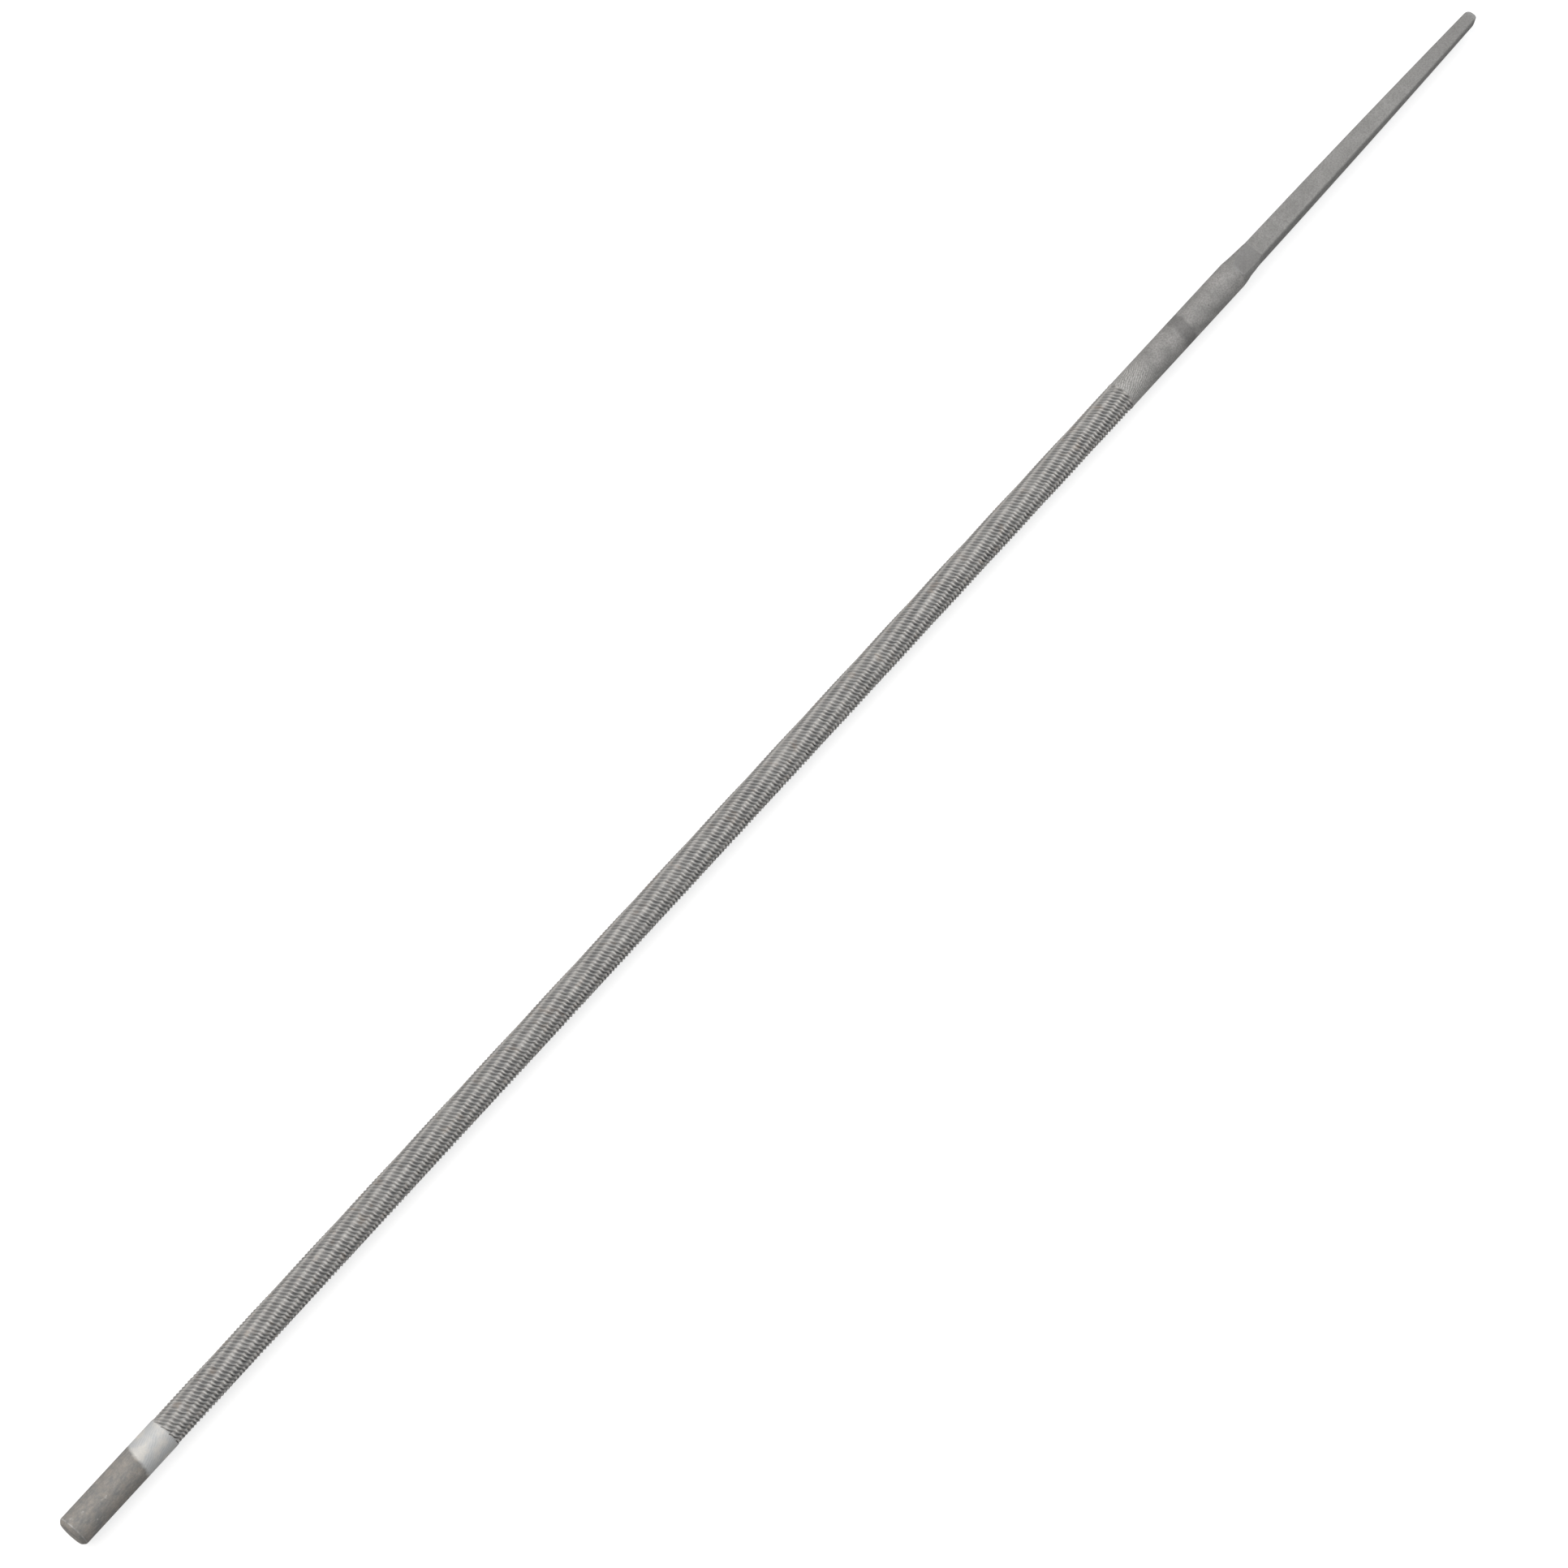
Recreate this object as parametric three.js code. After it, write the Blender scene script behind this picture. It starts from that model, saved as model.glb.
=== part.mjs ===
// Round spiral-cut file for sharpening a saw chain, in millimetres, +Z up.
// It is one bar of hardened steel with no handle, so the model is one closed mesh: a plain toe,
// the cut length with its rows of teeth, a plain heel, the shoulder and a tapered square tang.
// The file lies along X with its toe at -X, on a surface at Z = 0.

import * as THREE from 'three';

// Round body. The blank is measured across its facets, and is a hair thicker than the toothed part.
const diameterOverTeeth = 3.97;
const blankDiameter = 3.98;
const toeLength = 14.8;
const toeChamfer = 0.5;
const cutLength = 170.5;
const heelLength = 22.5;

// Teeth. The real cut has a tooth every 0.47 mm, and here each tooth stands for about two of them.
const rowsAround = 10;
const toothPitch = 0.93;
const rowLead = 102;
const gulletDepth = 0.06;
const crestSlopeShare = 0.37;
const steepFaceShare = 0.3;

// Shoulder and tang
const shoulderLength = 4;
const tangLength = 46.1;
const tangWidth = 2.7;
const tangTipWidth = 1.62;
const tangStraightTaperShare = 0.45;
const tangSpans = 6;
const shoulderSpans = 4;
const roundingSteps = 4;

// Columns of vertices run along the bar, two for each row of teeth: one on the row's border,
// where neighbouring chisel cuts meet, and one along its middle. Facets lie between the columns.
// The file rests on one of them, and every fifth column runs into an edge of the tang.
const columns = 2 * rowsAround;
const columnAngle = (2 * Math.PI) / columns;
const crestRadius = diameterOverTeeth / 2;
const blankRadius = blankDiameter / 2 / Math.cos(columnAngle / 2);

// The rows wind round the bar by a whole number of columns, which lines up the facets of its ends.
const woundColumns = Math.round((cutLength / rowLead) * columns);

// Stations along the bar, from the end face of the toe
const cutStart = toeLength;
const cutEnd = cutStart + cutLength;
const shoulderStart = cutEnd + heelLength;
const tangStart = shoulderStart + shoulderLength;
const tip = tangStart + tangLength;

const positions = [];
const faces = new Map();

function addVertex(x, y, z) {
  positions.push(x - tip / 2, y, z + blankDiameter / 2);
  return positions.length / 3 - 1;
}

function addRoundVertex(x, angle, radius) {
  return addVertex(x, radius * Math.cos(angle), radius * Math.sin(angle));
}

// Two faces back to back on the same three corners close on each other, so both go.
function addFace(a, b, c) {
  if (a === b || b === c || c === a) return;
  const key = [a, b, c].sort((low, high) => low - high).join();
  if (!faces.delete(key)) faces.set(key, [a, b, c]);
}

function addSkin(ring, next) {
  ring.forEach((corner, column) => {
    const beside = (column + 1) % columns;
    addFace(corner, ring[beside], next[column]);
    addFace(ring[beside], next[beside], next[column]);
  });
}

function addEnd(ring, x, towardTang) {
  const centre = addVertex(x, 0, 0);
  ring.forEach((corner, column) => {
    const beside = ring[(column + 1) % columns];
    if (towardTang) addFace(centre, corner, beside);
    else addFace(centre, beside, corner);
  });
}

function everyColumn(makeVertex) {
  return Array.from({ length: columns }, (_, column) => makeVertex(column));
}

function angleOf(column, wound) {
  return (column + wound + 0.5) * columnAngle;
}

function roundRing(x, radius, wound) {
  return everyColumn((column) => addRoundVertex(x, angleOf(column, wound), radius));
}

// Toe: a plain round end with a rounded chamfer round its flat face
function buildToe(firstRing) {
  const rings = [];
  for (let step = 0; step <= roundingSteps; step += 1) {
    const turn = (step / roundingSteps) * (Math.PI / 2);
    const x = toeChamfer * (1 - Math.sin(turn));
    const radius = blankRadius - toeChamfer * (1 - Math.cos(turn));
    rings.push(roundRing(x, radius, woundColumns));
  }
  addSkin(rings[0], firstRing);
  for (let step = 1; step < rings.length; step += 1) addSkin(rings[step], rings[step - 1]);
  addEnd(rings[rings.length - 1], 0, false);
}

// Teeth: the crests are right-handed helices that climb round the bar with several starts, so a
// crest that has gone once round lies that many teeth further along. A chisel cuts each gullet
// straight across its row, so the gullet is a chord between the row's borders, deepest midway,
// while the crest left standing follows the round. The steep face of a tooth looks to the toe.
// The rows wind the other way, as steep left-handed helices. The mesh goes from crest to crest, and
// vertices past either end of the cut fall on that end's ring, so the rows start and end stepped.
function buildTeeth(firstRing, lastRing) {
  const oneTurn = Math.PI * diameterOverTeeth;
  const starts = Math.max(1, Math.round((crestSlopeShare * oneTurn) / toothPitch));
  const teeth = Math.ceil(cutLength / toothPitch);
  const made = new Map();

  function cutVertex(tooth, column, shift, radius) {
    const turns = Math.floor(column / columns);
    const ownColumn = column - turns * columns;
    const climb = (turns + ownColumn / columns) * starts;
    const x = cutStart + (tooth + climb + shift) * toothPitch;
    if (x <= cutStart) return firstRing[ownColumn];
    if (x >= cutEnd) return lastRing[ownColumn];
    const key = [tooth + turns * starts, ownColumn, shift].join();
    const wound = (woundColumns * (cutEnd - x)) / cutLength;
    if (!made.has(key)) made.set(key, addRoundVertex(x, angleOf(ownColumn, wound), radius));
    return made.get(key);
  }

  const crest = (tooth, column) => cutVertex(tooth, column, 0, crestRadius);
  const gullet = (tooth, column) => {
    return cutVertex(tooth, column, -steepFaceShare, crestRadius - gulletDepth);
  };

  for (let tooth = -starts - 1; tooth <= teeth; tooth += 1) {
    const next = tooth + 1;
    for (let left = 0; left < columns; left += 2) {
      const middle = left + 1;
      const right = left + 2;
      addFace(crest(tooth, left), crest(tooth, middle), gullet(next, left));
      addFace(crest(tooth, middle), crest(tooth, right), gullet(next, right));
      addFace(crest(tooth, middle), gullet(next, right), gullet(next, left));
      addFace(gullet(next, left), gullet(next, right), crest(next, middle));
      addFace(gullet(next, left), crest(next, middle), crest(next, left));
      addFace(gullet(next, right), crest(next, right), crest(next, middle));
    }
  }
}

// A square section: each column lies on the flat of its side, or on the round of the blank where
// that is nearer the axis.
function squareRing(x, halfWidth) {
  return everyColumn((column) => {
    const angle = angleOf(column, 0);
    const acrossSide = Math.max(Math.abs(Math.cos(angle)), Math.abs(Math.sin(angle)));
    return addRoundVertex(x, angle, Math.min(blankRadius, halfWidth / acrossSide));
  });
}

// Shoulder: four flat ramps are ground into the round bar, down to the sides of the tang
function buildShoulder(heelRing) {
  let ring = heelRing;
  for (let span = 0; span <= shoulderSpans; span += 1) {
    const along = span / shoulderSpans;
    const halfWidth = THREE.MathUtils.lerp(blankRadius, tangWidth / 2, along);
    const next = squareRing(shoulderStart + along * shoulderLength, halfWidth);
    addSkin(ring, next);
    ring = next;
  }
  return ring;
}

// Tang: tapers a little faster as it goes, and ends in a rounded tip as deep as it is wide
function buildTang(shoulderRing) {
  const tipRadius = tangTipWidth / 2;
  const taperLength = tangLength - tipRadius;
  let ring = shoulderRing;
  for (let span = 1; span <= tangSpans; span += 1) {
    const along = span / tangSpans;
    const taper = tangStraightTaperShare * along + (1 - tangStraightTaperShare) * along * along;
    const width = THREE.MathUtils.lerp(tangWidth, tangTipWidth, taper);
    const next = squareRing(tangStart + along * taperLength, width / 2);
    addSkin(ring, next);
    ring = next;
  }
  for (let step = 1; step < roundingSteps; step += 1) {
    const turn = (step / roundingSteps) * (Math.PI / 2);
    const next = squareRing(tip - tipRadius * (1 - Math.sin(turn)), tipRadius * Math.cos(turn));
    addSkin(ring, next);
    ring = next;
  }
  addEnd(ring, tip, true);
}

const cutStartRing = roundRing(cutStart, blankRadius, woundColumns);
const cutEndRing = roundRing(cutEnd, blankRadius, 0);
buildToe(cutStartRing);
buildTeeth(cutStartRing, cutEndRing);
buildTang(buildShoulder(cutEndRing));

const geometry = new THREE.BufferGeometry();
geometry.setAttribute('position', new THREE.Float32BufferAttribute(positions, 3));
geometry.setIndex([...faces.values()].flat());
geometry.computeVertexNormals();

// Hardened carbon steel, ground grey, with a matt cut
const steel = new THREE.MeshStandardMaterial({
  color: 0x9c9a96,
  roughness: 0.42,
  metalness: 1,
  flatShading: true,
});

const file = new THREE.Mesh(geometry, steel);
file.name = 'file';

const group = new THREE.Group();
group.add(file);

export default group;
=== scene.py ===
import math

import bpy
import numpy as np
from mathutils import Matrix, Vector


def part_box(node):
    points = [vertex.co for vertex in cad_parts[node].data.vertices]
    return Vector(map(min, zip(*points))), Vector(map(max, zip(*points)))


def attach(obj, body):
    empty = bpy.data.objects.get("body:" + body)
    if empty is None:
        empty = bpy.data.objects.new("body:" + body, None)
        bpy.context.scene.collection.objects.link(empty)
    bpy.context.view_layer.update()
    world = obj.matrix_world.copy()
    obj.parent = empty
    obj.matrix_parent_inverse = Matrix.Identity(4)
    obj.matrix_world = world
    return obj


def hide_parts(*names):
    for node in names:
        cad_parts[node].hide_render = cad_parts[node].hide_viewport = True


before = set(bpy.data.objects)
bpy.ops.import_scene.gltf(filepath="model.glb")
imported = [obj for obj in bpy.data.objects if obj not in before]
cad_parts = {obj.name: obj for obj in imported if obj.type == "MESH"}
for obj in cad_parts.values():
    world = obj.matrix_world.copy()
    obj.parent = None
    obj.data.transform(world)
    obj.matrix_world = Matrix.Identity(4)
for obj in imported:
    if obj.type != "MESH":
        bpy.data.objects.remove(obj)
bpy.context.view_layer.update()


# Camera
# The photograph looks down on the file, leaning towards its toe, with the tang up and to the
# right. view_lean is the angle to the file's normal, and view_roll turns the view about its axis.

mm = 0.001
frame_pixels = 1932
focal_pixels = 5782
sensor = 36.0
view_lean = math.radians(19.35)
view_roll = math.radians(12.4)
file_slope = math.radians(47.37)
camera_distance = 549.0 * mm
aim_along = -9.84 * mm
aim_across = -1.78 * mm
nearest_seen = 10 * mm
farthest_seen = 5.0

low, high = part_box("file")
toe_end = low[0]
tang_end = high[0]
axis_height = (low[2] + high[2]) / 2

toward_camera = Vector(
    (
        -math.sin(view_lean),
        -math.cos(view_lean) * math.sin(view_roll),
        math.cos(view_lean) * math.cos(view_roll),
    )
)
along_file = (Vector((1, 0, 0)) - toward_camera * toward_camera.x).normalized()
across_file = toward_camera.cross(along_file)
camera_right = math.cos(file_slope) * along_file - math.sin(file_slope) * across_file
camera_up = math.sin(file_slope) * along_file + math.cos(file_slope) * across_file
aim = Vector((aim_along, 0, axis_height)) + aim_across * across_file

camera = bpy.data.objects.new("camera", bpy.data.cameras.new("camera"))
bpy.context.scene.collection.objects.link(camera)
camera.data.sensor_width = sensor
camera.data.lens = focal_pixels / frame_pixels * sensor
camera.data.clip_start = nearest_seen
camera.data.clip_end = farthest_seen
turn = Matrix((camera_right, camera_up, toward_camera)).transposed()
camera.matrix_world = Matrix.Translation(aim + camera_distance * toward_camera) @ turn.to_4x4()
bpy.context.scene.camera = camera


# Toe
# The plain end of a bar of high-carbon steel, which enters the work first. Its tip is left soft
# and dull from annealing, with a rounded chamfer. A narrow band behind it was ground bright.

body_radius = 1.985 * mm
toe_length = 14.8 * mm
chamfer_along = 0.45 * mm
chamfer_across = 0.42 * mm
cut_start = toe_end + toe_length
plain_spans = 39
round_columns = 96
round_crease = math.radians(40)
point_decimals = 9

soft_length = 10.6 * mm
soft_slant = 0.18
soft_wander = 0.8 * mm
soft_fade = 0.4 * mm
rim_width = 0.1 * mm
lines_around = 40
line_waver_size = 1.2 * mm
line_waver = 5
grinding_slant = math.radians(25)
grinding_twist = math.tan(grinding_slant) / body_radius

blotch_size = 1.0 * mm
streak_size = 0.25 * mm
streak_stretch = 2.5
nick_size = 0.55 * mm
nick_stretch = 1.6
cloud_size = 1.3 * mm
toe_grain_size = 0.16 * mm
grain_relief = 0.02 * mm

soft_dark = "7a7a79"
soft_light = "918b84"
soft_pale = "a8a199"
nick_bright = "b5b2ad"
ground_dark = "abacad"
ground_light = "b8b9b9"
ground_pale = "c1beb9"
edge_tint = "505050"
metal_share = 0.25
specular_level = 0.2
soft_roughness = 0.68
ground_roughness = 0.58


def linear(colour):
    """An sRGB colour written as six hex digits, as linear red, green, blue and alpha."""
    channels = [int(colour[place : place + 2], 16) / 255 for place in (0, 2, 4)]
    curve = [c / 12.92 if c <= 0.04045 else ((c + 0.055) / 1.055) ** 2.4 for c in channels]
    return (*curve, 1.0)


def add_node(tree, kind, settings=None, sockets=None):
    """A node of this kind. A socket's value is a number or colour, or another node's output."""
    node = tree.nodes.new(kind)
    for name, value in (settings or {}).items():
        setattr(node, name, value)
    for name, value in (sockets or {}).items():
        if isinstance(value, bpy.types.NodeSocket):
            tree.links.new(value, node.inputs[name])
        else:
            node.inputs[name].default_value = value
    return node


def new_steel(name):
    """A material for bare matt steel with its shader, as (material, tree, shader).

    Blasting, scale and a fine cut scatter most of the light, so only a share counts as metal.
    """
    material = bpy.data.materials.new(name)
    material.use_nodes = True
    tree = material.node_tree
    shader = tree.nodes["Principled BSDF"]
    shader.inputs["Metallic"].default_value = metal_share
    shader.inputs["Specular IOR Level"].default_value = specular_level
    shader.inputs["Specular Tint"].default_value = linear(edge_tint)
    return material, tree, shader


def build_bar(name, rings, shift=0):
    """A closed skin over rings of points that go round the X axis.

    rings has the shape (stations, columns, 3), with the stations in order towards +X and the
    columns turning from +Y to +Z. Past the last column the skin goes on at the first column,
    shift stations further along. Each point joins the next along and round, and where points
    coincide, to a nanometre, the faces between them fall away. A fan closes each end.
    """
    stations, columns = rings.shape[:2]
    rounded = rings.reshape(-1, 3).round(point_decimals)
    points, used = np.unique(rounded, axis=0, return_inverse=True)
    index = used.reshape(stations, columns)
    wrapped = np.hstack([index[: stations - shift], index[shift:, :1]])
    here, beside = wrapped[:-1, :-1], wrapped[:-1, 1:]
    ahead, ahead_beside = wrapped[1:, :-1], wrapped[1:, 1:]
    faces = np.concatenate(
        [
            np.stack([here, beside, ahead_beside], axis=-1).reshape(-1, 3),
            np.stack([here, ahead_beside, ahead], axis=-1).reshape(-1, 3),
        ]
    )
    for ring, order in ((index[0], (0, 2, 1)), (index[-1], (0, 1, 2))):
        centre = points[ring].mean(axis=0)
        fan = np.stack([np.full(columns, len(points)), ring, np.roll(ring, -1)], axis=-1)
        faces = np.concatenate([faces, fan[:, order]])
        points = np.vstack([points, centre])
    first, second, third = faces.T
    whole = (first != second) & (second != third) & (third != first)
    mesh = bpy.data.meshes.new(name)
    mesh.from_pydata(points.tolist(), [], faces[whole].tolist())
    mesh.update()
    piece = bpy.data.objects.new(name, mesh)
    bpy.context.scene.collection.objects.link(piece)
    return piece


def centred_place(tree):
    """Object coordinates, moved so that the file's axis is the X axis."""
    place = add_node(tree, "ShaderNodeTexCoord").outputs["Object"]
    centred = add_node(tree, "ShaderNodeMapping", sockets={"Vector": place})
    centred.inputs["Location"].default_value = (0, 0, -axis_height)
    return centred.outputs["Vector"]


def along(tree, place):
    """The coordinate along the file."""
    return add_node(tree, "ShaderNodeSeparateXYZ", sockets={"Vector": place}).outputs["X"]


def stretched(tree, place, times):
    """Coordinates that make a pattern this many times longer along the file."""
    scaled = add_node(tree, "ShaderNodeMapping", sockets={"Vector": place})
    scaled.inputs["Scale"].default_value = (1 / times, 1, 1)
    return scaled.outputs["Vector"]


def product(tree, first, second):
    """The product of two numbers."""
    sockets = {0: first, 1: second}
    return add_node(tree, "ShaderNodeMath", {"operation": "MULTIPLY"}, sockets).outputs[0]


def product_plus(tree, first, second, third):
    """The product of the first two numbers, plus the third."""
    sockets = {0: first, 1: second, 2: third}
    return add_node(tree, "ShaderNodeMath", {"operation": "MULTIPLY_ADD"}, sockets).outputs[0]


def twisted(tree, place, twist):
    """Coordinates turned about the file by an angle that grows along it."""
    turned = add_node(
        tree,
        "ShaderNodeVectorRotate",
        {"rotation_type": "X_AXIS"},
        {"Vector": place, "Angle": product(tree, along(tree, place), twist)},
    )
    return turned.outputs["Vector"]


def add_noise(tree, place, size, detail):
    """Smooth noise whose spots are about this long."""
    sockets = {"Vector": place, "Scale": 1 / size, "Detail": detail}
    return add_node(tree, "ShaderNodeTexNoise", sockets=sockets).outputs["Fac"]


def remap(tree, value, from_min, from_max, to_min=0, to_max=1):
    """The value moved from one range to another, and held at the ends."""
    sockets = {
        "Value": value,
        "From Min": from_min,
        "From Max": from_max,
        "To Min": to_min,
        "To Max": to_max,
    }
    return add_node(tree, "ShaderNodeMapRange", sockets=sockets).outputs["Result"]


def mix(tree, share, first, second):
    """The first colour, with this share of the second."""
    sockets = {0: share, 6: first, 7: second}
    return add_node(tree, "ShaderNodeMix", {"data_type": "RGBA"}, sockets).outputs[2]


def overlaid(tree, colour, value, over, start, full, share=1):
    """The colour with another one, written in hex, laid over it where the value is high.

    The other begins where the value reaches start, and has this share where it reaches full.
    """
    return mix(tree, remap(tree, value, start, full, 0, share), colour, linear(over))


def wave_round(tree, place, twist, count, offset):
    """A cosine wave with this many crests round the bar, which wind along it by the twist."""
    turned = twisted(tree, place, twist)
    parts = add_node(tree, "ShaderNodeSeparateXYZ", sockets={"Vector": turned}).outputs
    sockets = {0: parts["Z"], 1: parts["Y"]}
    angle = add_node(tree, "ShaderNodeMath", {"operation": "ARCTAN2"}, sockets).outputs[0]
    phase = product_plus(tree, angle, count, offset)
    return add_node(tree, "ShaderNodeMath", {"operation": "COSINE"}, {0: phase}).outputs[0]


def grinding_lines(tree, place):
    """Fine slanting lines left by a grinding wheel, from zero to one, which waver as they go.

    Real ones are finer, and are drawn 0.3 mm apart so that they show.
    """
    waver = add_noise(tree, place, line_waver_size, detail=2.0)
    waver = remap(tree, waver, from_min=0.3, from_max=0.7, to_max=line_waver)
    return remap(tree, wave_round(tree, place, grinding_twist, lines_around, waver), -1, 1)


def set_bump(tree, shader, height, distance):
    """Relief of this depth in the shading."""
    sockets = {"Strength": 1.0, "Distance": distance, "Height": height}
    bump = add_node(tree, "ShaderNodeBump", sockets=sockets)
    tree.links.new(bump.outputs["Normal"], shader.inputs["Normal"])


def round_rings(stations, radii):
    """Circles about the file's axis: at each station x, points at even angles at that radius."""
    angle = np.arange(round_columns) * 2 * np.pi / round_columns
    x = np.repeat(stations[:, None], round_columns, axis=1)
    y = radii[:, None] * np.cos(angle)
    z = radii[:, None] * np.sin(angle) + axis_height
    return np.stack([x, y, z], axis=-1)


def toe_profile():
    """Stations and radii: a flat end, a straight chamfer with eased edges, then the full round.

    Both tables go by shares of the chamfer, and the second is how far its edges are eased.
    """
    chamfer = np.array([0.0, 0.05, 0.2, 0.5, 0.8, 1.0, 1.2])
    easing = np.array([0.2, 0.05, -0.06, -0.1, -0.06, 0.03, 0.0])
    chamfer_x = toe_end + chamfer_along * chamfer
    chamfer_r = body_radius - chamfer_across * (np.maximum(1 - chamfer, 0) + easing)
    plain_x = np.linspace(chamfer_x[-1], cut_start, plain_spans + 1)[1:]
    plain_r = np.full(plain_spans, body_radius)
    return np.append(chamfer_x, plain_x), np.append(chamfer_r, plain_r)


toe = build_bar("toe", round_rings(*toe_profile()))
toe.data.shade_smooth()
toe.data.set_sharp_from_angle(angle=round_crease)


def toe_steel():
    """High-carbon steel, annealed to a dull grey-brown at the tip and ground to a satin behind it.

    The soft steel is blotched, streaked along the bar and nicked. The ground band keeps fine lines
    from the wheel, and its edge wanders where the scale was ground off. The chamfer's edge is worn
    bright in places. Scale has a finer grain than this, drawn coarser so that it shows.
    """
    material, tree, shader = new_steel("annealed_and_ground_steel")
    place = centred_place(tree)
    blotches = add_noise(tree, place, blotch_size, detail=6.0)
    grain = add_noise(tree, place, toe_grain_size, detail=2.0)
    streaks = add_noise(tree, stretched(tree, place, streak_stretch), streak_size, detail=3.0)
    nicks = add_noise(tree, stretched(tree, place, nick_stretch), nick_size, detail=1.0)
    clouds = add_noise(tree, place, cloud_size, detail=3.0)

    dull = overlaid(tree, linear(soft_dark), blotches, soft_light, start=0.35, full=0.65)
    dull = overlaid(tree, dull, streaks, soft_pale, start=0.4, full=0.75, share=0.5)
    dull = overlaid(tree, dull, nicks, nick_bright, start=0.7, full=0.78, share=0.7)
    dull = overlaid(tree, dull, grain, soft_dark, start=0.35, full=0.65, share=0.5)

    bright = mix(tree, grinding_lines(tree, place), linear(ground_dark), linear(ground_light))
    bright = overlaid(tree, bright, clouds, ground_pale, start=0.45, full=0.65)
    bright = overlaid(tree, bright, grain, ground_dark, start=0.35, full=0.65, share=0.3)

    slanted = add_node(
        tree,
        "ShaderNodeVectorMath",
        {"operation": "DOT_PRODUCT"},
        {0: place, 1: (1, -soft_slant, 0)},
    ).outputs["Value"]
    edge = product_plus(tree, clouds, soft_wander, slanted)
    soft_end = toe_end + soft_length + soft_wander / 2
    ground = remap(tree, edge, soft_end - soft_fade / 2, soft_end + soft_fade / 2)
    colour = mix(tree, ground, dull, bright)

    crease = toe_end + chamfer_along
    before = remap(tree, along(tree, place), crease - rim_width, crease)
    past = remap(tree, along(tree, place), crease, crease + rim_width, 1, 0)
    worn = remap(tree, blotches, from_min=0.35, from_max=0.6, to_max=0.7)
    rim = product(tree, product(tree, before, past), worn)
    colour = mix(tree, rim, colour, linear(ground_light))

    tree.links.new(colour, shader.inputs["Base Color"])
    roughness = remap(tree, ground, 0, 1, soft_roughness, ground_roughness)
    tree.links.new(roughness, shader.inputs["Roughness"])
    set_bump(tree, shader, grain, grain_relief)
    return material


toe.data.materials.append(toe_steel())
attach(toe, "root")
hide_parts("file")


# Cut length
# Ten rows of teeth wind round the bar as steep left-handed helices. A chisel raises each tooth
# from the soft steel with a cut across its row, which is deepest midway, so each row stands as a
# low ridge. The crests are right-handed spirals with a bend where two rows meet.

cut_length = 170.4 * mm
teeth_along = 365
rows_around = 10
row_lead = 101.8 * mm
row_offset = 0.6
crest_slope = 0.375
gullet_depth = 0.19 * mm
border_depth = 0.11 * mm
border_drop = 0.08 * mm
cut_end = cut_start + cut_length
tooth_pitch = cut_length / teeth_along

columns_per_row = 6
row_bend_shares = np.array([0.05, 0.19, 0.07, -0.03, -0.08, -0.07])
tooth_stations = np.array([0.0, 0.26, 0.5, 0.74])
tooth_depths = np.array([1.0, 0.0, 0.15, 0.8])
chance_seed = 7
chance_limit = 2
place_jitter = 0.024 * mm
depth_jitter = 0.18

# Where each row's painted highlight peaks, and how much painted shade its other side takes.
lit_side_place = 0.25
row_shade_share = 0.6
uncut_height = 0.8
stain_size = 3.0 * mm
rust_size = 1.1 * mm
tooth_grain_size = 0.15 * mm

# The crest colour carries a painted highlight, and the gullet colour painted shade.
crest_colour = "c1beba"
flank_colour = "a6a4a1"
gullet_colour = "7e7e7f"
row_shade_colour = "646464"
rust_colour = "9c8570"
tooth_roughness = 0.62


def tooth_rings():
    """Points of the toothed skin, and how many stations it climbs in one turn round the bar.

    Station x is the tooth's number times the pitch, plus the climb of the crest spiral, which
    grows evenly with the angle, plus the row's bend at that column and a random shift of each
    cut. The radius is the body's, less the drop of the row's ridge, less the tooth's profile times
    the depth of its cut. Drop and depth change as a cosine wave across the row: at the borders the
    ridge drops most and the cut is shallowest. The angle turns back along the row's helix. A cut
    that would run past an end is left out of its row, and its points lie on the plain round.
    """
    columns = rows_around * columns_per_row
    lines = len(tooth_stations)
    starts = round(crest_slope * 2 * np.pi * body_radius / tooth_pitch)
    line = np.arange(-(starts + 1) * lines, (teeth_along + starts + 2) * lines)[:, None]
    column = np.arange(columns)[None, :]
    row = column // columns_per_row
    cuts = teeth_along + 2 * starts + 3
    chance = np.random.default_rng(chance_seed).normal(size=(2, cuts, rows_around))
    chance = chance.clip(-chance_limit, chance_limit)
    shift, deepening = chance[:, (line - line[0, 0]) // lines, row]

    number = line // lines + tooth_stations[line % lines] + starts * column / columns
    bend = row_bend_shares[column % columns_per_row] * tooth_pitch
    x = cut_start + number * tooth_pitch + bend + place_jitter * shift

    across_row = (column % columns_per_row) / columns_per_row
    midway = (1 - np.cos(2 * np.pi * across_row)) / 2
    depth = border_depth + (gullet_depth - border_depth) * midway
    depth = depth * (1 + depth_jitter * deepening)
    radius = body_radius - border_drop * (1 - midway) - tooth_depths[line % lines] * depth
    first = line // lines + starts * row / rows_around
    plain = (first < 0) | (first + starts / rows_around > teeth_along)
    radius = np.where(plain | (x <= cut_start) | (x >= cut_end), body_radius, radius)

    x = np.clip(x, cut_start, cut_end)
    turns = (column / columns_per_row + row_offset) / rows_around - (x - cut_end) / row_lead
    y = radius * np.cos(2 * np.pi * turns)
    z = radius * np.sin(2 * np.pi * turns) + axis_height
    return np.stack([x, y, z], axis=-1), starts * lines


cut_piece = build_bar("cut_length", *tooth_rings())


def row_wave(tree, place, past_border):
    """One at this share of a row past its border, and minus one half a row from there."""
    turns = (row_offset + past_border) / rows_around + cut_end / row_lead
    offset = -rows_around * 2 * math.pi * turns
    return wave_round(tree, place, 2 * math.pi / row_lead, rows_around, offset)


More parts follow.
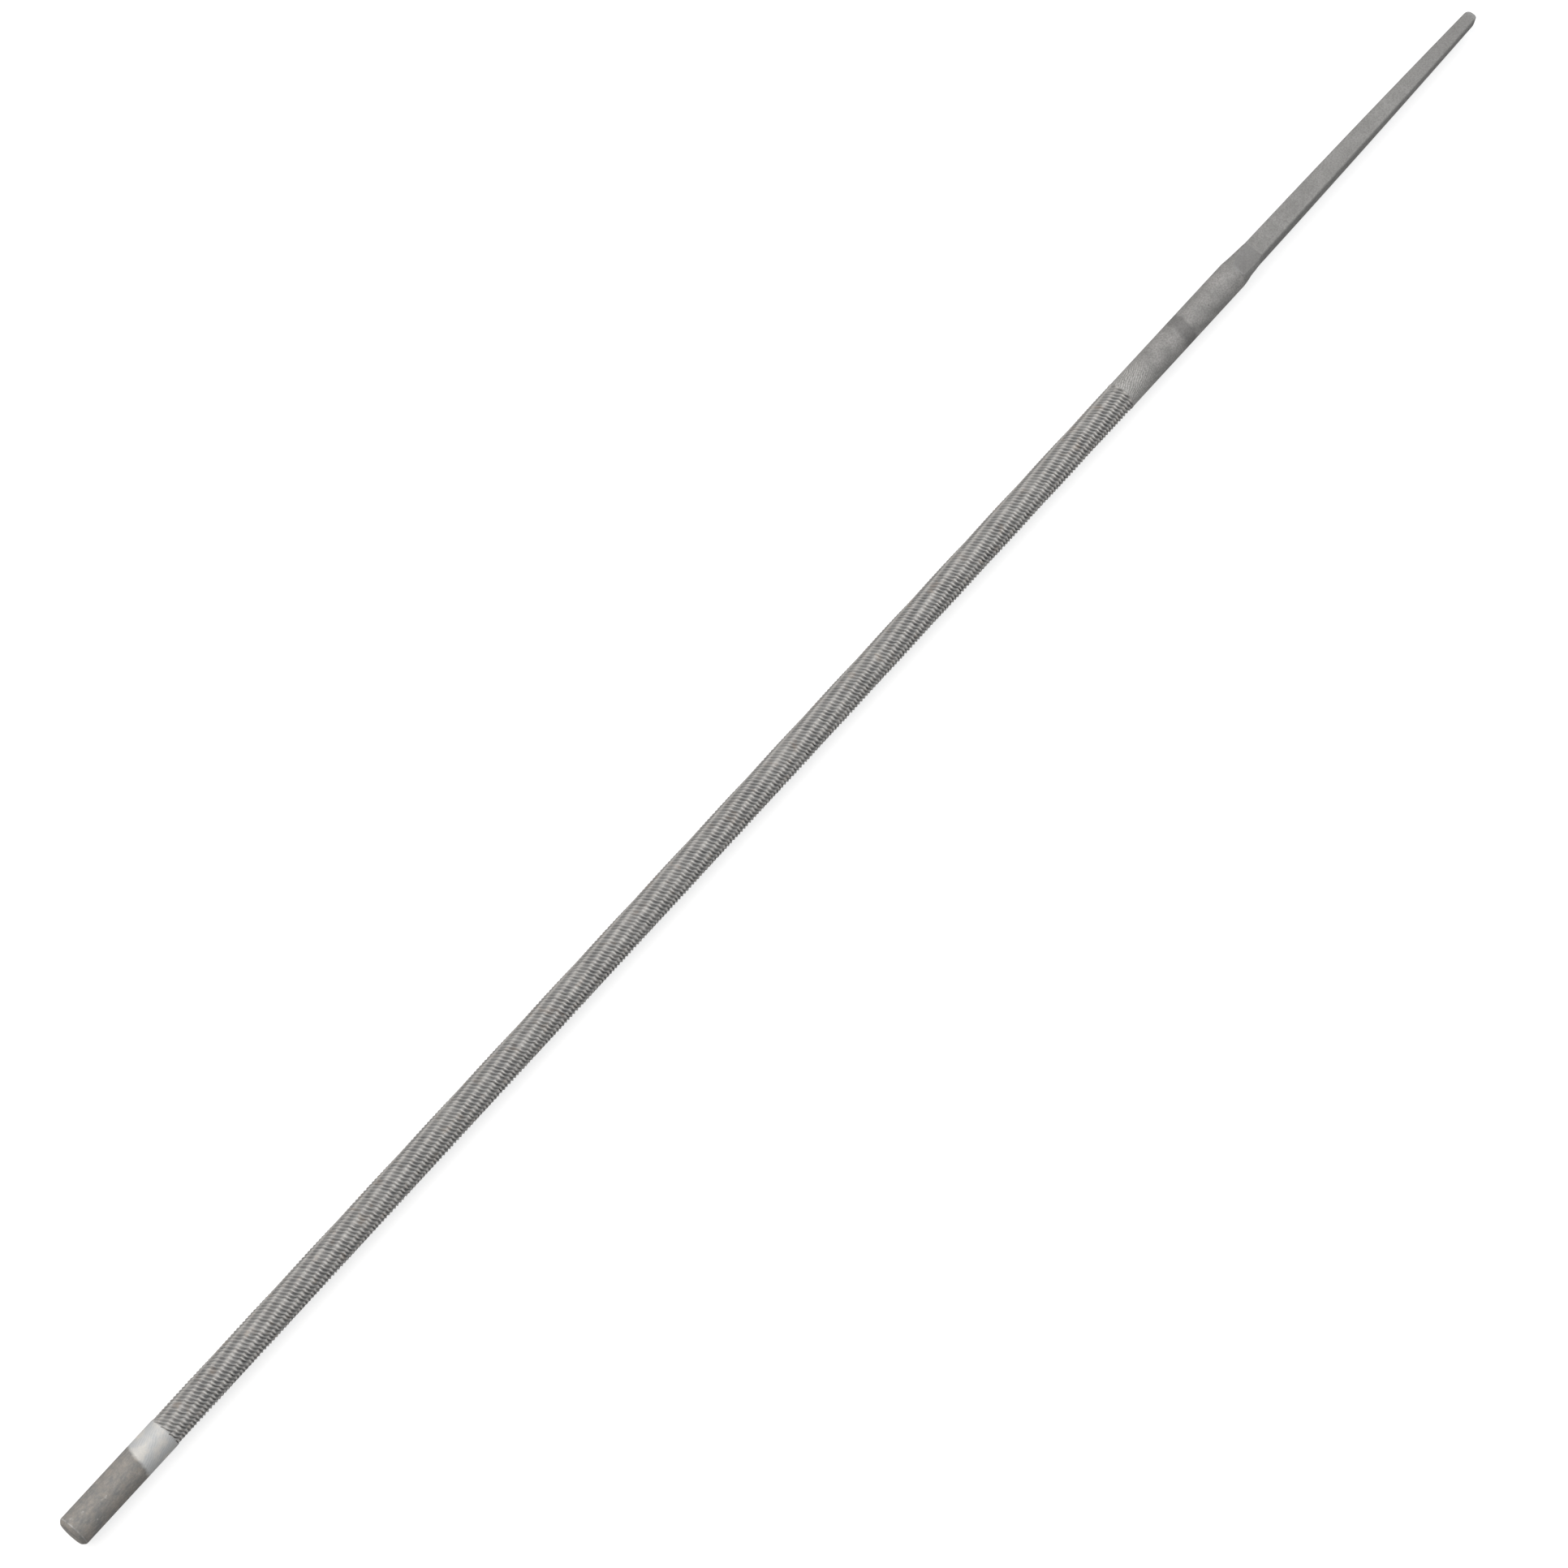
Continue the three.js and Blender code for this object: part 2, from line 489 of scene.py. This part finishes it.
def distance_from_axis(tree, place):
    """How far a point is from the file's axis."""
    flattened = add_node(tree, "ShaderNodeMapping", sockets={"Vector": place})
    flattened.inputs["Scale"].default_value = (0, 1, 1)
    sockets = {0: flattened.outputs["Vector"]}
    length = add_node(tree, "ShaderNodeVectorMath", {"operation": "LENGTH"}, sockets)
    return length.outputs["Value"]


def tooth_steel():
    """High-carbon steel, hardened after cutting and blasted: pale crests and dark gullets.

    The colour follows the distance from the axis: darker in the gullets as painted shade in the
    hollows, and paler at each crest as a painted highlight along it. Each row's ridge is painted
    lighter on one side and darker on the other, a painted highlight and shade that gives the bands
    that wind round the file, and a few spots are stained brown. The first cuts stand in the ground
    band, so their crests are bright.
    Blasting has a finer grain than this, drawn coarser so that it shows.
    """
    material, tree, shader = new_steel("hardened_chisel_cut_steel")
    place = centred_place(tree)
    from_axis = distance_from_axis(tree, place)
    # Painted shade towards the gullets and a painted highlight at the crests.
    height = remap(tree, from_axis, body_radius - gullet_depth, body_radius)
    colour = overlaid(tree, linear(gullet_colour), height, flank_colour, start=0, full=0.5)
    colour = overlaid(tree, colour, height, crest_colour, start=0.5, full=1)

    # Painted highlight and shade of each row's ridge, lighter on one side and darker on the other.
    lit_side = row_wave(tree, place, lit_side_place)
    shade = remap(tree, lit_side, -1, 1, row_shade_share, 0)
    colour = mix(tree, shade, colour, linear(row_shade_colour))
    colour = overlaid(tree, colour, lit_side, crest_colour, start=0, full=1, share=0.5)

    beginning = remap(tree, along(tree, place), cut_start, cut_start + tooth_pitch, 1, 0)
    uncut = product(tree, beginning, remap(tree, height, uncut_height, 1))
    colour = mix(tree, uncut, colour, linear(ground_light))

    stain = add_noise(tree, place, stain_size, detail=3.0)
    grain = add_noise(tree, place, tooth_grain_size, detail=2.0)
    rust = add_noise(tree, place, rust_size, detail=4.0)
    colour = overlaid(tree, colour, stain, flank_colour, start=0.45, full=0.7, share=0.3)
    colour = overlaid(tree, colour, rust, rust_colour, start=0.58, full=0.72, share=0.25)
    colour = overlaid(tree, colour, grain, gullet_colour, start=0.35, full=0.7, share=0.35)
    tree.links.new(colour, shader.inputs["Base Color"])
    shader.inputs["Roughness"].default_value = tooth_roughness
    return material


cut_piece.data.materials.append(tooth_steel())
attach(cut_piece, "root")
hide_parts("file")


# Heel
# The plain length behind the teeth, where a maker's mark is rolled in and a handle's ferrule may
# sit. Grinding lines cross its first few millimetres, and the rest is blasted to a matt grey.

heel_length = 22.4 * mm
heel_radius = 1.94 * mm
fall_length = 0.5 * mm
fall_spans = 4
shoulder_start = cut_end + heel_length

line_length = 5.1 * mm
line_fade = 2.5 * mm
heel_wander = 2.0 * mm
patch_place = 10.8 * mm
patch_length = 1.7 * mm
patch_start_width = 0.7 * mm
patch_start_shift = 0.4 * mm
patch_end_width = 0.4 * mm
patch_share = 0.75
heel_grain_size = 0.2 * mm
heel_cloud_size = 1.6 * mm
pit_size = 0.4 * mm

heel_dark = "8b8a88"
heel_light = "9b9997"
line_pale = "b4b2af"
patch_colour = "737271"
pit_colour = "615f5e"
blasted_roughness = 0.68


def heel_profile():
    """Stations and radii: a fall from the teeth to the plain round as half a cosine wave."""
    fall = np.linspace(0, 1, fall_spans + 1)
    fall_x = cut_end + fall_length * fall
    fall_r = heel_radius + (body_radius - heel_radius) * (1 + np.cos(np.pi * fall)) / 2
    plain_x = np.linspace(fall_x[-1], shoulder_start, plain_spans + 1)[1:]
    plain_r = np.full(plain_spans, heel_radius)
    return np.append(fall_x, plain_x), np.append(fall_r, plain_r)


heel = build_bar("heel", round_rings(*heel_profile()))
heel.data.shade_smooth()
heel.data.set_sharp_from_angle(angle=round_crease)


def heel_steel():
    """The same steel: lines from the wheel beside the teeth, then blasted to an even matt grey.

    Blasting leaves tiny dark pits and a fine grain, drawn coarser so that it shows. A band where
    it bit less stays darker, and its edges wander.
    """
    material, tree, shader = new_steel("blasted_steel")
    place = centred_place(tree)
    grain = add_noise(tree, place, heel_grain_size, detail=2.0)
    clouds = add_noise(tree, place, heel_cloud_size, detail=3.0)
    pits = add_noise(tree, place, pit_size, detail=1.0)
    colour = overlaid(tree, linear(heel_dark), clouds, heel_light, start=0.35, full=0.65)
    ground = mix(tree, grinding_lines(tree, place), linear(heel_dark), linear(line_pale))

    edge = product_plus(tree, clouds, heel_wander, along(tree, place))
    line_end = cut_end + line_length + heel_wander / 2
    colour = mix(tree, remap(tree, edge, line_end, line_end - line_fade), colour, ground)

    patch = cut_end + patch_place + heel_wander / 2
    patch_start = patch - patch_start_shift
    patch_end = patch + patch_length
    dark = remap(tree, edge, patch_start, patch_start + patch_start_width)
    pale = remap(tree, edge, patch_end, patch_end + patch_end_width, 1, 0)
    share = product(tree, product(tree, dark, pale), patch_share)
    colour = mix(tree, share, colour, linear(patch_colour))

    colour = overlaid(tree, colour, pits, pit_colour, start=0.7, full=0.78, share=0.5)
    colour = overlaid(tree, colour, grain, pit_colour, start=0.35, full=0.65, share=0.45)
    tree.links.new(colour, shader.inputs["Base Color"])
    shader.inputs["Roughness"].default_value = blasted_roughness
    set_bump(tree, shader, grain, grain_relief)
    return material


heel.data.materials.append(heel_steel())
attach(heel, "root")
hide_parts("file")


# Shoulder and tang
# Four ramps are ground into the round bar and run into the flat sides of a square tang, which
# tapers to a rounded tip and is driven into a handle's bore. The edges are broken by tumbling.

shoulder_length = 4.0 * mm
tang_width = 2.7 * mm
tip_width = 1.62 * mm
tip_round = 1.1 * mm
straight_taper = 0.45
edge_bevel = 0.12 * mm
ramp_step = 0.21 * mm
ramp_step_share = 0.1
ramp_turn = math.radians(15)
tang_start = shoulder_start + shoulder_length

shoulder_spans = 32
taper_spans = 60
tip_spans = 12
flat_columns = 6
edge_columns = 14
tang_crease = math.radians(20)
almost_zero = 1e-9

tang_grain_size = 0.2 * mm
tang_cloud_size = 1.8 * mm
mottled_length = 16 * mm
mottled_share = 0.6
# How strong the painted shade on the ramps is, and where it fades.
ramp_shade_share = 0.7
ramp_edge_deep = 0.03 * mm
ramp_edge_shallow = 0.01 * mm
ramp_fade = 0.1 * mm

tang_dark = "868583"
tang_light = "8e8d8b"
ramp_shade_colour = "777675"


def tang_profile():
    """Stations, half heights, half widths, the radius of the round at the edges, and the turn.

    The half width falls evenly along the shoulder, and along the tang by a mix of even taper and
    its square. The tip is a quarter circle. The ramps above and below start with a step, and turn
    about the axis as they go. The edges keep the bar's round on the shoulder, and on the tang they
    keep a round that stays a bevel short of the square's corner.
    """
    shoulder = np.linspace(0, 1, shoulder_spans + 1)
    taper = np.linspace(0, 1, taper_spans + 1)[1:]
    tip = np.linspace(0, np.pi / 2, tip_spans + 1)[1:-1]
    x = np.concatenate(
        [
            shoulder_start + shoulder * shoulder_length,
            tang_start + taper * (tang_end - tip_round - tang_start),
            tang_end - tip_round * (1 - np.sin(tip)),
        ]
    )
    narrowing = straight_taper * taper + (1 - straight_taper) * taper**2
    half_width = np.concatenate(
        [
            heel_radius + shoulder * (tang_width / 2 - heel_radius),
            (tang_width + (tip_width - tang_width) * narrowing) / 2,
            tip_width / 2 * np.cos(tip),
        ]
    )
    along_ramp = np.clip((x - shoulder_start) / shoulder_length, 0, 1)
    step = ramp_step * np.minimum(along_ramp / ramp_step_share, 1) * (1 - along_ramp)
    half_height = half_width - step
    edge = np.minimum(heel_radius, (half_height - edge_bevel / 2) * math.sqrt(2))
    return x, half_height, half_width, edge, ramp_turn * (1 - along_ramp)


def square_rings(stations, half_heights, half_widths, edge_radii, turns):
    """Oblongs with rounded edges: flats at the half sizes, and arcs about the axis at the edges.

    A quarter of the section runs from the middle of a side along its flat, to where the flat
    meets the edge's circle, on along that circle, and along the next flat to its middle.
    """
    side = np.arccos(np.clip(half_widths / edge_radii, 0, 1))[:, None]
    top = np.arcsin(np.clip(half_heights / edge_radii, 0, 1))[:, None]
    flat = np.linspace(0, 1, flat_columns + 1)[None, :]
    arc = np.linspace(0, 1, edge_columns + 1)[None, 1:-1]
    on_top = top + (np.pi / 2 - top) * flat
    quarter = np.hstack([side * flat, side + (top - side) * arc, on_top])
    half = np.hstack([quarter, np.pi - quarter[:, -2:0:-1]])
    angle = np.hstack([half, half + np.pi])
    to_side = half_widths[:, None] / np.abs(np.cos(angle)).clip(almost_zero)
    to_top = half_heights[:, None] / np.abs(np.sin(angle)).clip(almost_zero)
    radius = np.minimum(np.minimum(to_side, to_top), edge_radii[:, None])
    angle = angle + turns[:, None]
    x = np.repeat(stations[:, None], angle.shape[1], axis=1)
    return np.stack([x, radius * np.cos(angle), radius * np.sin(angle) + axis_height], axis=-1)


tang = build_bar("tang", square_rings(*tang_profile()))
tang.data.shade_smooth()
tang.data.set_sharp_from_angle(angle=tang_crease)


def tang_steel():
    """The same steel, forged square and blasted: an even pale grey, mottled towards the tip.

    The ramps are ground after forging. Where they lie inside the bar's round they take a painted
    shade, standing in for the darker light on their slopes.
    Blasting has a finer grain than this, drawn coarser so that it shows.
    """
    material, tree, shader = new_steel("forged_and_blasted_steel")
    place = centred_place(tree)
    grain = add_noise(tree, place, tang_grain_size, detail=2.0)
    clouds = add_noise(tree, place, tang_cloud_size, detail=3.0)
    colour = overlaid(tree, linear(tang_dark), clouds, tang_light, start=0.35, full=0.65)

    # Painted shade on the ramps, standing in for the darker light on their slopes.
    from_axis = distance_from_axis(tree, place)
    well_inside = heel_radius - ramp_edge_deep
    just_inside = heel_radius - ramp_edge_shallow
    on_ramp = remap(tree, from_axis, well_inside, just_inside, ramp_shade_share, 0)
    ramp_end = tang_start + ramp_fade
    before_tang = remap(tree, along(tree, place), tang_start, ramp_end, 1, 0)
    colour = mix(tree, product(tree, on_ramp, before_tang), colour, linear(ramp_shade_colour))

    mottled_start = tang_end - mottled_length
    tipward = remap(tree, along(tree, place), mottled_start, tang_end, 0, mottled_share)
    mottled = product(tree, tipward, remap(tree, clouds, from_min=0.3, from_max=0.6))
    colour = mix(tree, mottled, colour, linear(patch_colour))
    colour = overlaid(tree, colour, grain, pit_colour, start=0.35, full=0.7, share=0.45)
    tree.links.new(colour, shader.inputs["Base Color"])
    shader.inputs["Roughness"].default_value = blasted_roughness
    set_bump(tree, shader, grain, grain_relief)
    return material


tang.data.materials.append(tang_steel())
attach(tang, "root")
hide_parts("file")


# Floor
# A plain sheet of paper under the file. Light of its own, which grows away from the file, makes it
# white to the camera and in the steel, and near the file it still takes the shadow.

floor_side = 6.0
floor_colour = "9c9c9c"
floor_glow = 0.76
shadow_reach = 0.2
white_from = 0.7


def build_floor():
    """A flat square at height zero."""
    mesh = bpy.data.meshes.new("floor")
    corners = np.array([(-1, -1, 0), (1, -1, 0), (1, 1, 0), (-1, 1, 0)]) * floor_side / 2
    mesh.from_pydata(corners.tolist(), [], [(0, 1, 2, 3)])
    sheet = bpy.data.objects.new("floor", mesh)
    bpy.context.scene.collection.objects.link(sheet)
    return sheet


def seen_directly(tree):
    """One for camera rays and for reflected or refracted ones, and zero for diffuse ones."""
    path = add_node(tree, "ShaderNodeLightPath").outputs
    sockets = {0: path["Is Camera Ray"], 1: path["Is Glossy Ray"]}
    direct = add_node(tree, "ShaderNodeMath", {"operation": "MAXIMUM"}, sockets).outputs[0]
    sockets = {0: direct, 1: path["Is Transmission Ray"]}
    return add_node(tree, "ShaderNodeMath", {"operation": "MAXIMUM"}, sockets).outputs[0]


def floor_paper():
    """Matt uncoated paper, with light of its own where it is seen, and more away from the file."""
    material = bpy.data.materials.new("matt_white_paper")
    material.use_nodes = True
    tree = material.node_tree
    shader = tree.nodes["Principled BSDF"]
    shader.inputs["Base Color"].default_value = linear(floor_colour)
    shader.inputs["Roughness"].default_value = 1.0
    shader.inputs["Specular IOR Level"].default_value = 0.0
    shader.inputs["Emission Color"].default_value = (1, 1, 1, 1)
    place = add_node(tree, "ShaderNodeTexCoord").outputs["Object"]
    away = add_node(tree, "ShaderNodeVectorMath", {"operation": "LENGTH"}, {0: place})
    glow = remap(tree, away.outputs["Value"], shadow_reach, white_from, floor_glow, 1)
    shown = product(tree, seen_directly(tree), glow)
    tree.links.new(shown, shader.inputs["Emission Strength"])
    return material


floor = build_floor()
floor.data.materials.append(floor_paper())


# Light
# A broad soft lamp stands high on the far side of the file, towards its toe. A second one stands
# low beyond the tang and rakes along the file, which brings out the teeth on the near side. A
# white surround fills the rest.

lamp_size = 1.0
lamp_power = 11.7
lamp_place = Vector((-0.47, 0.36, 0.81))
lamp_tint = "fffdfb"
side_lamp_power = 16.0
side_lamp_place = Vector((0.95, -0.05, 0.3))
side_lamp_tint = "fafdff"
surround_seen = 1.0
surround_fill = 0.09


def add_lamp(name, place, size, power, tint):
    """A square lamp at this place, turned to the middle of the file."""
    light = bpy.data.lights.new(name, "AREA")
    light.shape = "SQUARE"
    light.size = size
    light.energy = power
    light.color = linear(tint)[:3]
    lamp = bpy.data.objects.new(name, light)
    lamp.location = place
    lamp.rotation_euler = place.to_track_quat("Z", "Y").to_euler()
    bpy.context.scene.collection.objects.link(lamp)


add_lamp("key_lamp", lamp_place, lamp_size, lamp_power, lamp_tint)
add_lamp("side_lamp", side_lamp_place, lamp_size, side_lamp_power, side_lamp_tint)

world = bpy.data.worlds.new("surround")
bpy.context.scene.world = world
world.use_nodes = True
world_tree = world.node_tree
background = world_tree.nodes["Background"]
background.inputs["Color"].default_value = (1, 1, 1, 1)
strength = remap(world_tree, seen_directly(world_tree), 0, 1, surround_fill, surround_seen)
world_tree.links.new(strength, background.inputs["Strength"])

bpy.context.scene.view_settings.view_transform = "Standard"
